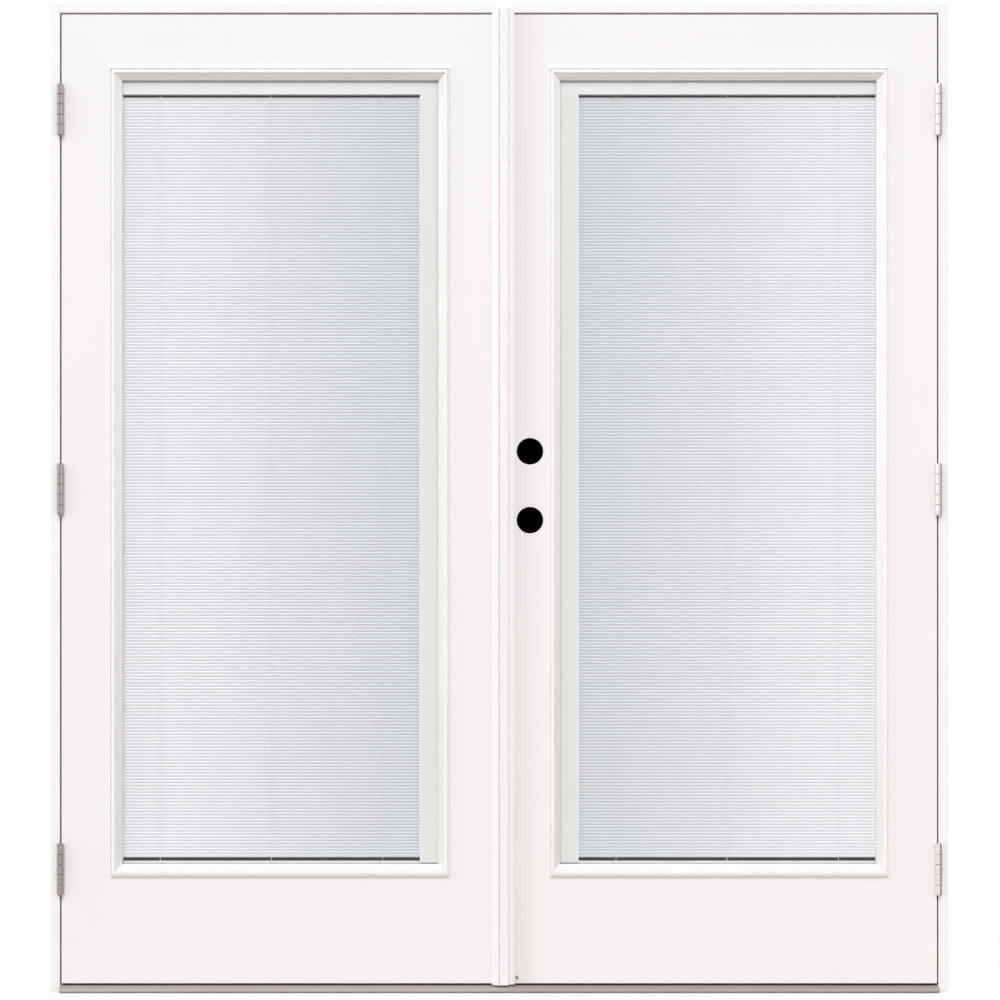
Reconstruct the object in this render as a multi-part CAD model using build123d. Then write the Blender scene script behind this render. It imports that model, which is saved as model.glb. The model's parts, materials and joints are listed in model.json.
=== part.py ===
"""Outswing french doors in their frame, seen from outside as -Y, with blinds sealed in the glass."""
from build123d import *
import math
import os

os.makedirs("parts", exist_ok=True)

# Frame
frame_width = 1820.0
frame_height = 2006.0
jamb_depth = 116.0
jamb_thickness = 19.0
stop_rise = 12.7  # how far the stop stands in from the rabbet
rabbet_depth = 50.0  # from the outdoor edge of the jamb to the stop
edge_ease = 1.5
kerf_width = 3.0
kerf_depth = 9.0
kerf_inset = 2.0  # from the rabbet to the kerf

# Leaves
leaf_thickness = 44.5
side_gap = 3.0
head_gap = 3.0
meeting_gap = 4.0
leaf_bottom = 18.5
skin_thickness = 1.6
hinge_stile_width = 35.0
lock_stile_width = 96.0
top_rail_height = 40.0
bottom_rail_height = 45.0
fit = 0.3  # clearance of one piece beside another
seat = 0.1  # clearance of a plate in its mortise

# Lite frames and insulated glass
lite_side_margin = 99.5  # leaf edge to lite frame
lite_top_margin = 110.0
lite_bottom_margin = 219.0
lite_face_width = 22.0
lite_stand = 8.0  # how far the rim stands proud of the skin
lite_band_width = 7.0  # flat outer band of the rim
lite_groove_width = 2.4
lite_groove_depth = 2.6
lite_groove_wall = 0.5  # slant of the groove's near wall
lite_slope_drop = 0.9  # from the rim's band to the top of the slope
lite_bevel = 0.8  # on the rim's outer edge
lite_lip = 2.2  # thickness of the lip on the glass
lite_lip_slope = 0.6  # slope's foot above the lip
cutout_inset = 10.0  # rim overlap on the skin
tenon_width = 2.4
pane_thickness = 3.0
pane_cover = 9.0  # how far the lip covers the pane
cavity_depth = 19.0
spacer_width = 7.0
spacer_setback = 1.0  # spacer behind the edge of the pane

# Blind
head_rail_height = 23.5
head_rail_drop = 4.0  # from the glass edge to the head rail
side_rail_width = 37.0
side_rail_lift = 1.5  # from the glass edge to the side rail's foot
rail_depth = 17.0
rail_wall = 1.6
slat_width = 8.0
slat_thickness = 0.4
slat_tilt = 74.0
slat_pitch = 6.56
slat_end_gap = 1.5  # beside the side rail
first_slat_drop = 4.0  # dark gap below the head rail
last_slat_gap = 4.5  # dark gap above the blind's bottom rail
bottom_rail_size = (10.0, 4.0)  # depth and height
bottom_rail_ease = 1.0
ladder_spacing = 226.5
ladder_thickness = 0.8

# Blind operators, on the indoor side
operator_plate = 4.0
operator_rib = (4.0, 4.0)  # width and height
track_lift = 9.0  # from the glass edge to the ribs' foot
lift_rib_inset = 11.0  # from the glass edge
tilt_rib_inset = 28.0
lift_grip = (15.0, 11.0, 70.0)  # width, depth and height
tilt_grip = (11.0, 9.0, 40.0)
grip_from_top = 20.0
grip_ease = 3.0
grip_groove = 1.2  # depth, and half the width
grip_groove_pitch = 8.0

# Hinges
hinge_height = 102.0
hinge_from_bottom = 232.5  # leaf bottom to the low hinge's middle
hinge_from_top = 194.0
plate_thickness = 2.5
plate_reach = 38.0  # how far a hinge plate reaches into the leaf's edge
knuckle_radius = 6.5
knuckle_count = 5
knuckle_gap = 0.4
barrel_side_count = 12  # the barrels and pins repeat, so they are drawn with few faces
pin_side_count = 8
pin_radius = 3.0
pin_clearance = 0.05
pin_cap = (5.0, 2.0)  # radius and height

# Lock holes in the right leaf
backset = 60.3
lock_height = 958.0
deadbolt_rise = 139.7
face_bore_radius = 27.0
edge_bore_radius = 12.7

# Flush bolts and strikes in the left leaf
bolt_radius = 4.5
bolt_inset = 9.0  # meeting edge to the bolt's axis
bolt_length = 220.0
bolt_setback = 2.0
bolt_travel = 14.0
bolt_hole_play = 1.0
thumb_size = (8.0, 16.0)  # width and height
thumb_from_end = 24.0
strike_size = (25.4, 57.0, 1.5)  # width, height and thickness
strike_hole = (14.0, 24.0)
strike_pocket = 18.0
head_strike_size = (16.0, 60.0)  # width and length

# Strip over the meeting edges
strip_height = 10.0
strip_seam = 0.6
strip_left_width = 15.5
strip_right_width = 31.0
strip_crown = (0.36, 0.62)  # where the left half's curve passes, as shares of its width and rise
strip_flat_width = 17.5
strip_bevel = 2.5  # height of the bevel beside the flat
strip_wall = 20.0  # from the joint to the strip's right-hand drop
strip_wall_slope = 0.5
strip_lip = 2.5
strip_toe = (2.5, 1.25)  # width and height of the thin edge
strip_toe_slope = 1.5
strip_above_leaf = 11.0
strip_below_leaf = 2.0

# Sill
sill_nose = 10.0
deck_wall = 2.4
deck_foot = 4.0  # dark gap under the nose
deck_front_height = 12.0
deck_back_height = 14.5
bumper_height = 36.0
bumper_width = 24.0
bumper_foot = 9.0
apron_height = 30.0
apron_bevel = 3.0
rib_count = 7
rib_width = 3.2
rib_height = 1.0
sill_hole_floor = 5.0
sill_seal_heights = (24.0, 34.0)

# Seals
seal_width = 8.5
sweep_strip = 1.2
sweep_fin_width = 1.5
sweep_fin_drop = 2.6
sweep_fins = 3
sweep_inset = 2.5

# Planes and lines that the pieces share
outdoor = -jamb_depth / 2
indoor = jamb_depth / 2
leaf_back = outdoor + leaf_thickness
leaf_mid = outdoor + leaf_thickness / 2
stop_face = outdoor + rabbet_depth
half_width = frame_width / 2
rabbet_x = half_width - jamb_thickness
stop_x = rabbet_x - stop_rise
rabbet_z = frame_height - jamb_thickness
stop_z = rabbet_z - stop_rise
leaf_near = meeting_gap / 2
leaf_far = rabbet_x - side_gap
leaf_top = rabbet_z - head_gap
core_front = outdoor + skin_thickness
core_back = leaf_back - skin_thickness

lite_near = leaf_near + lite_side_margin
lite_far = leaf_far - lite_side_margin
lite_low = leaf_bottom + lite_bottom_margin
lite_high = leaf_top - lite_top_margin
lite_x = (lite_near + lite_far) / 2
lite_z = (lite_low + lite_high) / 2
lite_width = lite_far - lite_near
lite_height = lite_high - lite_low
sight_near = lite_near + lite_face_width
sight_far = lite_far - lite_face_width
sight_low = lite_low + lite_face_width
sight_high = lite_high - lite_face_width
pane_width = lite_width - 2 * (lite_face_width - pane_cover)
pane_height = lite_height - 2 * (lite_face_width - pane_cover)
cavity_front = leaf_mid - cavity_depth / 2
cavity_back = leaf_mid + cavity_depth / 2
spacer_inset = lite_face_width - pane_cover + spacer_setback + spacer_width
plate_back = cavity_back + pane_thickness + operator_plate

cavity_near = lite_near + spacer_inset + fit
cavity_far = lite_far - spacer_inset - fit
rail_front = leaf_mid - rail_depth / 2
rail_back = leaf_mid + rail_depth / 2
head_rail_top = sight_high - head_rail_drop
head_rail_low = head_rail_top - head_rail_height
side_rail_far = sight_near + side_rail_width
slat_near = side_rail_far + slat_end_gap
slat_far = cavity_far - fit
slat_rise = (slat_width * math.sin(math.radians(slat_tilt)) + slat_thickness) / 2
slat_reach = (slat_width * math.cos(math.radians(slat_tilt)) + slat_thickness) / 2
bottom_rail_top = sight_low + bottom_rail_size[1]
first_slat = head_rail_low - first_slat_drop - slat_rise
last_slat = bottom_rail_top + last_slat_gap + slat_rise
slat_count = math.floor((first_slat - last_slat) / slat_pitch) + 1

pin_x = (leaf_far + rabbet_x) / 2
pin_y = outdoor - knuckle_radius - fit
pin_bore_radius = (pin_radius + pin_clearance) / math.cos(math.pi / pin_side_count)
hinge_low = leaf_bottom + hinge_from_bottom
hinge_high = leaf_top - hinge_from_top
hinge_heights = (hinge_low, (hinge_low + hinge_high) / 2, hinge_high)
bore_x = leaf_near + backset
bore_heights = (lock_height, lock_height + deadbolt_rise)
bolt_x = -(leaf_near + bolt_inset)


def block(xs, ys, zs):
    """A box between two values on each axis, given in any order."""
    spans = [sorted(pair) for pair in (xs, ys, zs)]
    middle = [(low + high) / 2 for low, high in spans]
    return Pos(*middle) * Box(*[high - low for low, high in spans])


def upright(points, low, high):
    """A section drawn in plan, run up from low to high."""
    return Pos(0, 0, low) * extrude(make_face(Polyline(*points, close=True)), high - low, dir=(0, 0, 1))


def across(points, left, right):
    """A section drawn from the side as (depth, height), run from left to right."""
    face = Plane.YZ * make_face(Polyline(*points, close=True))
    return Pos(left, 0, 0) * extrude(face, right - left, dir=(1, 0, 0))


def rod(x, y, low, high, radius):
    return Pos(x, y, (low + high) / 2) * Cylinder(radius, high - low)


def barrel(x, y, low, high, radius, side_count=barrel_side_count):
    """An upright barrel of flats, whose corners lie on the radius."""
    face = RegularPolygon(radius, side_count)
    return Pos(x, y, low) * extrude(face, high - low, dir=(0, 0, 1))


def ease(shape, width, axis, places):
    """Bevel the edges along an axis whose middles lie at the given places, in the other two axes."""
    keep = {Axis.X: (1, 2), Axis.Y: (0, 2), Axis.Z: (0, 1)}[axis]
    chosen = []
    for edge in shape.edges().filter_by(axis):
        middle = tuple(edge.center())
        seen = [middle[i] for i in keep]
        if any(math.dist(seen, place) < 0.01 for place in places):
            chosen.append(edge)
    return chamfer(chosen, width)


def write(shape, name):
    export_step(shape, f"parts/{name}.step")


# Frame pieces
def plate_solid(side, inner, height, grow=0.0):
    """A hinge plate's flat, from inner outwards along X, at one hinge height."""
    xs = (side * inner, side * (inner + plate_thickness))
    half = hinge_height / 2 + grow
    return block(xs, (outdoor, outdoor + plate_reach + grow), (height - half, height + half))


def jamb(side):
    section = [
        (half_width, outdoor),
        (rabbet_x, outdoor),
        (rabbet_x, stop_face),
        (stop_x, stop_face),
        (stop_x, indoor),
        (half_width, indoor),
    ]
    leg = upright([(side * x, y) for x, y in section], 0, frame_height)
    rounds = [(rabbet_x, outdoor), (half_width, outdoor), (stop_x, stop_face), (stop_x, indoor)]
    leg = ease(leg, edge_ease, Axis.Z, [(side * x, y) for x, y in rounds])
    kerf_far = rabbet_x - kerf_inset
    kerf_x = (side * (kerf_far - kerf_width), side * kerf_far)
    leg -= block(kerf_x, (stop_face, stop_face + kerf_depth), (bumper_height, frame_height))
    for height in hinge_heights:
        leg -= plate_solid(side, rabbet_x, height, seat)
    return leg


def head_jamb():
    section = [
        (outdoor, frame_height),
        (outdoor, rabbet_z),
        (stop_face, rabbet_z),
        (stop_face, stop_z),
        (indoor, stop_z),
        (indoor, frame_height),
    ]
    head = across(section, -rabbet_x, rabbet_x)
    head = ease(head, edge_ease, Axis.X, [(outdoor, rabbet_z), (stop_face, stop_z), (indoor, stop_z)])
    for side in (-1, 1):
        head -= block((side * stop_x, side * rabbet_x), (stop_face, indoor), (0, frame_height))
    kerf_top = rabbet_z - kerf_inset
    kerf_y = (stop_face, stop_face + kerf_depth)
    head -= block((-stop_x, stop_x), kerf_y, (kerf_top - kerf_width, kerf_top))
    width, length = head_strike_size
    mortise_x = (bolt_x - length / 2 - seat, bolt_x + length / 2 + seat)
    mortise_y = (leaf_mid - width / 2 - seat, leaf_mid + width / 2 + seat)
    head -= block(mortise_x, mortise_y, (rabbet_z, rabbet_z + strike_size[2]))
    top = rabbet_z + bolt_travel
    return head - rod(bolt_x, leaf_mid, rabbet_z, top, bolt_radius + bolt_hole_play)


def head_strike():
    width, length = head_strike_size
    plate_x = (bolt_x - length / 2, bolt_x + length / 2)
    plate_y = (leaf_mid - width / 2, leaf_mid + width / 2)
    top = rabbet_z + strike_size[2]
    plate = block(plate_x, plate_y, (rabbet_z, top))
    return plate - rod(bolt_x, leaf_mid, rabbet_z, top, bolt_radius + bolt_hole_play)


def between_jambs(shape):
    """Cut the ends of a sill piece back to the stops of the two jambs."""
    for side in (-1, 1):
        shape -= block((side * stop_x, side * rabbet_x), (stop_face, indoor), (0, frame_height))
    return shape


deck_front = outdoor - sill_nose
bumper_back = stop_face + bumper_width
deck_slope = (deck_back_height - deck_front_height) / (stop_face - deck_front)
bolt_hole = rod(bolt_x, leaf_mid, sill_hole_floor, bumper_height, bolt_radius + bolt_hole_play)


def deck_top(y):
    return deck_front_height + deck_slope * (y - deck_front)


# Underside of the deck, from the nose to the bumper, which the base fills
deck_under = [
    (deck_front + deck_wall, deck_top(deck_front + deck_wall) - deck_wall),
    (stop_face, deck_back_height - deck_wall),
]


def sill_deck():
    """The ribbed aluminium tread, from its nose to the bumper."""
    top = [(deck_front, deck_foot), (deck_front, deck_front_height)]
    step = (stop_face - deck_front) / (rib_count + 1)
    for i in range(rib_count):
        start = deck_front + step * (i + 1) - rib_width / 2
        end = start + rib_width
        top += [(start, deck_top(start)), (start + rib_height, deck_top(start) + rib_height)]
        top += [(end - rib_height, deck_top(end) + rib_height), (end, deck_top(end))]
    top.append((stop_face, deck_back_height))
    nose = (deck_front + deck_wall, deck_foot)
    return across(top + deck_under[::-1] + [nose], -rabbet_x, rabbet_x) - bolt_hole


def sill_bumper():
    """The bar that the leaves close against, let into the base."""
    section = [
        (stop_face, bumper_foot),
        (stop_face, bumper_height),
        (bumper_back, bumper_height),
        (bumper_back, bumper_foot),
    ]
    bar = across(section, -rabbet_x, rabbet_x)
    return between_jambs(ease(bar, edge_ease, Axis.X, section[1:3]))


def sill_base():
    """The composite body of the sill, with the indoor apron."""
    front = [(deck_front + deck_wall, 0)]
    apron = [
        (stop_face, bumper_foot),
        (bumper_back, bumper_foot),
        (bumper_back, apron_height),
        (indoor - apron_bevel, apron_height),
        (indoor, apron_height - apron_bevel),
        (indoor, 0),
    ]
    return between_jambs(across(front + deck_under + apron, -rabbet_x, rabbet_x)) - bolt_hole


def sill_seal():
    low, high = sill_seal_heights
    edge = Line((stop_face, high), (stop_face, low))
    bulb = ThreePointArc((stop_face, low), (leaf_back + fit, (low + high) / 2), (stop_face, high))
    reach = rabbet_x - fit
    return Pos(-reach, 0, 0) * extrude(Plane.YZ * make_face([edge, bulb]), 2 * reach, dir=(1, 0, 0))


def frame_seals():
    """Foam strips whose barbs sit in the kerfs of the jambs and the head."""
    seals = []
    face_y = (leaf_back + fit, stop_face)
    barb_y = (stop_face, stop_face + kerf_depth - fit)
    near = rabbet_x - fit - seal_width
    kerf_far = rabbet_x - kerf_inset
    for side in (-1, 1):
        tall = (bumper_height, rabbet_z - seal_width - 2 * fit)
        strip = block((side * near, side * (rabbet_x - fit)), face_y, tall)
        strip += block((side * (kerf_far - kerf_width), side * kerf_far), barb_y, tall)
        seals.append(strip)
    top = rabbet_z - fit
    kerf_top = rabbet_z - kerf_inset
    strip = block((-rabbet_x + fit, rabbet_x - fit), face_y, (top - seal_width, top))
    strip += block((-stop_x, stop_x), barb_y, (kerf_top - kerf_width, kerf_top))
    seals.append(strip)
    return Compound(seals)


# Hinges
def hinge_half(side, inner, height, mine):
    """One plate of a hinge with its share of the knuckles, rolled round the pin."""
    half = plate_solid(side, inner, height)
    length = (hinge_height - (knuckle_count - 1) * knuckle_gap) / knuckle_count
    arm_x = (side * inner, side * (inner + plate_thickness))
    for i in mine:
        low = height - hinge_height / 2 + i * (length + knuckle_gap)
        half += barrel(side * pin_x, pin_y, low, low + length, knuckle_radius)
        half += block(arm_x, (pin_y, outdoor + plate_thickness), (low, low + length))
    low, high = height - hinge_height, height + hinge_height
    return half - barrel(side * pin_x, pin_y, low, high, pin_bore_radius, pin_side_count)


def hinge_halves(side, inner, mine):
    return Compound([hinge_half(side, inner, height, mine) for height in hinge_heights])


def hinge_pins():
    cap_radius, cap_height = pin_cap
    pins = []
    for side in (-1, 1):
        for height in hinge_heights:
            low = height - hinge_height / 2
            high = height + hinge_height / 2
            pin = barrel(side * pin_x, pin_y, low, high, pin_radius, pin_side_count)
            pin += barrel(side * pin_x, pin_y, high, high + cap_height, cap_radius)
            pin += barrel(side * pin_x, pin_y, low - cap_height, low, cap_radius)
            pins.append(pin)
    return Compound(pins)


# Leaves
def lite_cutout():
    reach = (lite_near + cutout_inset, lite_far - cutout_inset)
    return reach, (lite_low + cutout_inset, lite_high - cutout_inset)


def lock_bores():
    bores = []
    for height in bore_heights:
        bore = Rot(90, 0, 0) * Cylinder(face_bore_radius, 2 * leaf_thickness)
        bores.append(Pos(bore_x, leaf_mid, height) * bore)
    return bores


def skin(side, front, back):
    xs, zs = lite_cutout()
    sheet = block((side * leaf_near, side * leaf_far), (front, back), (leaf_bottom, leaf_top))
    sheet -= block((side * xs[0], side * xs[1]), (front, back), zs)
    if side > 0:
        sheet -= lock_bores()
    for height in hinge_heights:
        sheet -= plate_solid(side, leaf_far - plate_thickness, height, seat)
    return sheet


def hinge_stile(side):
    xs = (side * (leaf_far - hinge_stile_width), side * leaf_far)
    stile = block(xs, (core_front, core_back), (leaf_bottom, leaf_top))
    for height in hinge_heights:
        stile -= plate_solid(side, leaf_far - plate_thickness, height, seat)
    return stile


def bolt_spans(end):
    """Rod, thumb and slot heights of the flush bolt at the leaf's top (1) or bottom (-1)."""
    tip = leaf_top - bolt_setback if end > 0 else leaf_bottom + bolt_setback
    tail = tip - end * bolt_length
    thumb = (tail + end * thumb_from_end, tail + end * (thumb_from_end + thumb_size[1]))
    slot = (thumb[0] - end * fit, thumb[1] + end * (bolt_travel + fit))
    return (tail, tip), thumb, slot


def lock_stile(side):
    near, far = side * leaf_near, side * (leaf_near + lock_stile_width)
    stile = block((near, far), (core_front, core_back), (leaf_bottom, leaf_top))
    if side > 0:
        stile -= lock_bores()
        for height in bore_heights:
            bore = Rot(0, 90, 0) * Cylinder(edge_bore_radius, bore_x - leaf_near)
            stile -= Pos((bore_x + leaf_near) / 2, leaf_mid, height) * bore
        return stile
    width, height, thickness = strike_size
    hole_width, hole_height = strike_hole
    for middle in bore_heights:
        plate_y = (leaf_mid - width / 2 - seat, leaf_mid + width / 2 + seat)
        plate_z = (middle - height / 2 - seat, middle + height / 2 + seat)
        stile -= block((near, near - thickness), plate_y, plate_z)
        pocket_y = (leaf_mid - hole_width / 2, leaf_mid + hole_width / 2)
        pocket_z = (middle - hole_height / 2, middle + hole_height / 2)
        stile -= block((near, near - strike_pocket), pocket_y, pocket_z)
    for end in (-1, 1):
        (tail, tip), _, slot = bolt_spans(end)
        ends = sorted((tail - end * fit, tip + end * bolt_setback))
        stile -= rod(bolt_x, leaf_mid, *ends, bolt_radius + fit)
        slot_y = (leaf_mid - thumb_size[0] / 2 - fit, leaf_mid + thumb_size[0] / 2 + fit)
        stile -= block((near, bolt_x), slot_y, slot)
    return stile


def leaf_rail(side, low, high):
    xs = (side * (leaf_near + lock_stile_width), side * (leaf_far - hinge_stile_width))
    return block(xs, (core_front, core_back), (low, high))


def foam_core(side):
    xs, zs = lite_cutout()
    low, high = leaf_bottom + bottom_rail_height, leaf_top - top_rail_height
    return leaf_rail(side, low, high) - block((side * xs[0], side * xs[1]), (outdoor, leaf_back), zs)


def ring(side, section):
    """A section of (inset, depth) points run round the lite with mitred corners."""
    left, right = -lite_width / 2, lite_width / 2
    low, high = -lite_height / 2, lite_height / 2
    corners = [(left, 0, high), (right, 0, high), (right, 0, low), (left, 0, low)]
    start = (left, 0, 0)
    path = Polyline(start, *corners, start)
    face = make_face(Polyline(*[(left + inset, depth) for inset, depth in section], close=True))
    return Pos(side * lite_x, 0, lite_z) * sweep(face, path=path.wire(), transition=Transition.RIGHT)


def lite_frame(side, face, inward):
    """A moulded rim on the skin at face; inward is the way to the middle of the leaf."""
    rim = face - inward * lite_stand
    glass = leaf_mid - inward * (cavity_depth / 2 + pane_thickness)
    groove_end = lite_band_width + lite_groove_width
    inside = lite_face_width - pane_cover - fit
    section = [
        (0, face),
        (0, rim + inward * lite_bevel),
        (lite_bevel, rim),
        (lite_band_width, rim),
        (lite_band_width + lite_groove_wall, rim + inward * lite_groove_depth),
        (groove_end - lite_groove_wall, rim + inward * lite_groove_depth),
        (groove_end, rim + inward * lite_slope_drop),
        (lite_face_width - lite_lip / 2, glass - inward * (lite_lip + lite_lip_slope)),
        (lite_face_width, glass - inward * lite_lip),
        (lite_face_width, glass),
        (inside, glass),
        (inside, leaf_mid - inward * seat),
        (inside - tenon_width, leaf_mid - inward * seat),
        (inside - tenon_width, face),
    ]
    return ring(side, section)


def operator_ribs(side):
    return [side * (sight_near + inset) for inset in (lift_rib_inset, tilt_rib_inset)]


def inner_lite_frame(side):
    """The indoor rim, with the ribbed track that the two blind sliders ride on."""
    rim = lite_frame(side, leaf_back, -1)
    glass = cavity_back + pane_thickness
    xs = (side * sight_near, side * (sight_near + side_rail_width))
    rim += block(xs, (glass, plate_back), (sight_low, sight_high))
    width, height = operator_rib
    track_low = sight_low + track_lift
    for x in operator_ribs(side):
        rib_x = (x - width / 2, x + width / 2)
        rim += block(rib_x, (plate_back, plate_back + height), (track_low, head_rail_top))
    return rim


def slider(x, size, play):
    """A grip that straddles a rib of the track, with finger grooves across it."""
    width, depth, height = size
    rib_width, rib_stand = operator_rib
    high = head_rail_top - grip_from_top
    front = plate_back + play
    back = front + depth
    xs = (x - width / 2, x + width / 2)
    grip = block(xs, (front, back), (high - height, high))
    grip = ease(grip, grip_ease, Axis.Z, [(edge, back) for edge in xs])
    for i in (-1, 0, 1):
        middle = high - height / 2 + i * grip_groove_pitch
        grip -= block(xs, (back - grip_groove, back), (middle - grip_groove, middle + grip_groove))
    channel = (x - rib_width / 2 - play, x + rib_width / 2 + play)
    return grip - block(channel, (front, plate_back + rib_stand + play), (high - height, high))


def pane(side, front):
    xs = (side * lite_x - pane_width / 2, side * lite_x + pane_width / 2)
    zs = (lite_z - pane_height / 2, lite_z + pane_height / 2)
    return block(xs, (front, front + pane_thickness), zs)


def spacer(side):
    outer = lite_face_width - pane_cover + spacer_setback
    section = [
        (outer, cavity_front),
        (spacer_inset, cavity_front),
        (spacer_inset, cavity_back),
        (outer, cavity_back),
    ]
    return ring(side, section)


# Blind
def blind_head_rail(side):
    """A channel open at the top, held between the sides of the spacer; the ladders hang from its floor."""
    floor = head_rail_low + rail_wall
    section = [
        (rail_front, head_rail_top),
        (rail_front, head_rail_low),
        (rail_back, head_rail_low),
        (rail_back, head_rail_top),
        (rail_back - rail_wall, head_rail_top),
        (rail_back - rail_wall, floor),
        (rail_front + rail_wall, floor),
        (rail_front + rail_wall, head_rail_top),
    ]
    ends = sorted((side * cavity_near, side * cavity_far))
    return across(section, *ends)


def blind_side_rail(side):
    """A channel open towards the room, where the sliders' carriages run."""
    section = [
        (cavity_near, rail_front),
        (side_rail_far, rail_front),
        (side_rail_far, rail_back),
        (side_rail_far - rail_wall, rail_back),
        (side_rail_far - rail_wall, rail_front + rail_wall),
        (cavity_near + rail_wall, rail_front + rail_wall),
        (cavity_near + rail_wall, rail_back),
        (cavity_near, rail_back),
    ]
    low = sight_low + side_rail_lift
    return upright([(side * x, y) for x, y in section], low, head_rail_low)


def blind_slats(side):
    slat = Rot(slat_tilt, 0, 0) * Box(slat_far - slat_near, slat_width, slat_thickness)
    middle = side * (slat_near + slat_far) / 2
    heights = [first_slat - i * slat_pitch for i in range(slat_count)]
    return Compound([Pos(middle, leaf_mid, height) * slat for height in heights])


def ladder_cords(side):
    """Two tapes at each ladder, one on each side of the slats."""
    middle = side * (slat_near + slat_far) / 2
    half = ladder_thickness / 2
    tapes = []
    for shift in (-ladder_spacing, 0, ladder_spacing):
        for way in (-1, 1):
            x = middle + shift
            y = leaf_mid + way * (slat_reach + fit + half)
            tape = block((x - half, x + half), (y - half, y + half), (bottom_rail_top, head_rail_low))
            tapes.append(tape)
    return Compound(tapes)


def blind_bottom_rail(side):
    depth = bottom_rail_size[0]
    ys = (leaf_mid - depth / 2, leaf_mid + depth / 2)
    zs = (sight_low, bottom_rail_top)
    rail = block((side * slat_near, side * slat_far), ys, zs)
    return ease(rail, bottom_rail_ease, Axis.X, [(y, z) for y in ys for z in zs])


# Weatherproofing and hardware on the leaves
def door_sweep(side):
    """A vinyl strip under the leaf with fins that brush the sill."""
    front, back = outdoor + sweep_inset, leaf_back - sweep_inset
    under = leaf_bottom - sweep_strip
    xs = (side * (leaf_near + sweep_inset), side * (leaf_far - sweep_inset))
    sweep_part = block(xs, (front, back), (under, leaf_bottom))
    step = (back - front - sweep_fin_width) / (sweep_fins - 1)
    for i in range(sweep_fins):
        start = front + i * step
        sweep_part += block(xs, (start, start + sweep_fin_width), (leaf_bottom - sweep_fin_drop, under))
    if side < 0:
        sweep_part -= rod(bolt_x, leaf_mid, 0, leaf_bottom, bolt_radius + bolt_hole_play)
    return sweep_part


def strip_left():
    """The moulded half on the left leaf, which rises in a curve to the seam."""
    top = outdoor - strip_height
    seam = -strip_seam / 2
    edge = -strip_left_width
    crest = seam - strip_lip
    base = outdoor - strip_toe[1]
    along, rise = strip_crown
    crown = (edge + along * strip_left_width, base - rise * strip_height)
    outline = [
        Line((seam, outdoor), (edge, outdoor)),
        Line((edge, outdoor), (edge, base)),
        ThreePointArc((edge, base), crown, (crest, top)),
        Line((crest, top), (seam, top)),
        Line((seam, top), (seam, outdoor)),
    ]
    low, high = leaf_bottom - strip_below_leaf, leaf_top + strip_above_leaf
    return Pos(0, 0, low) * extrude(make_face(outline), high - low, dir=(0, 0, 1))


def strip_right():
    """The flat half on the right leaf, which drops to a low lip."""
    top = outdoor - strip_height
    seam = strip_seam / 2
    lip = outdoor - strip_lip
    toe = strip_right_width - strip_toe[0]
    section = [
        (seam, outdoor),
        (seam, top),
        (strip_flat_width, top),
        (strip_wall - strip_wall_slope, top + strip_bevel),
        (strip_wall, lip),
        (toe - strip_toe_slope, lip),
        (toe, outdoor - strip_toe[1]),
        (strip_right_width, outdoor - strip_toe[1]),
        (strip_right_width, outdoor),
    ]
    return upright(section, leaf_bottom - strip_below_leaf, leaf_top + strip_above_leaf)


def flush_bolt(end):
    """A rod in the left leaf's edge, with a thumb piece in its slot."""
    ends, thumb, _ = bolt_spans(end)
    bolt = rod(bolt_x, leaf_mid, *sorted(ends), bolt_radius)
    thumb_y = (leaf_mid - thumb_size[0] / 2, leaf_mid + thumb_size[0] / 2)
    return bolt + block((-leaf_near - seat, bolt_x), thumb_y, thumb)


def lock_strikes():
    width, height, thickness = strike_size
    hole_width, hole_height = strike_hole
    plates = []
    for middle in bore_heights:
        xs = (-leaf_near, -leaf_near - thickness)
        ys = (leaf_mid - width / 2, leaf_mid + width / 2)
        plate = block(xs, ys, (middle - height / 2, middle + height / 2))
        hole_y = (leaf_mid - hole_width / 2, leaf_mid + hole_width / 2)
        plates.append(plate - block(xs, hole_y, (middle - hole_height / 2, middle + hole_height / 2)))
    return Compound(plates)


write(head_jamb(), "head_jamb")
write(head_strike(), "head_strike")
write(sill_deck(), "sill_deck")
write(sill_bumper(), "sill_bumper")
write(sill_base(), "sill_base")
write(sill_seal(), "sill_seal")
write(frame_seals(), "frame_seals")
write(hinge_pins(), "hinge_pins")
write(strip_left(), "left_meeting_strip")
write(strip_right(), "right_meeting_strip")
write(flush_bolt(1), "top_flush_bolt")
write(flush_bolt(-1), "bottom_flush_bolt")
write(lock_strikes(), "lock_strikes")

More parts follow.
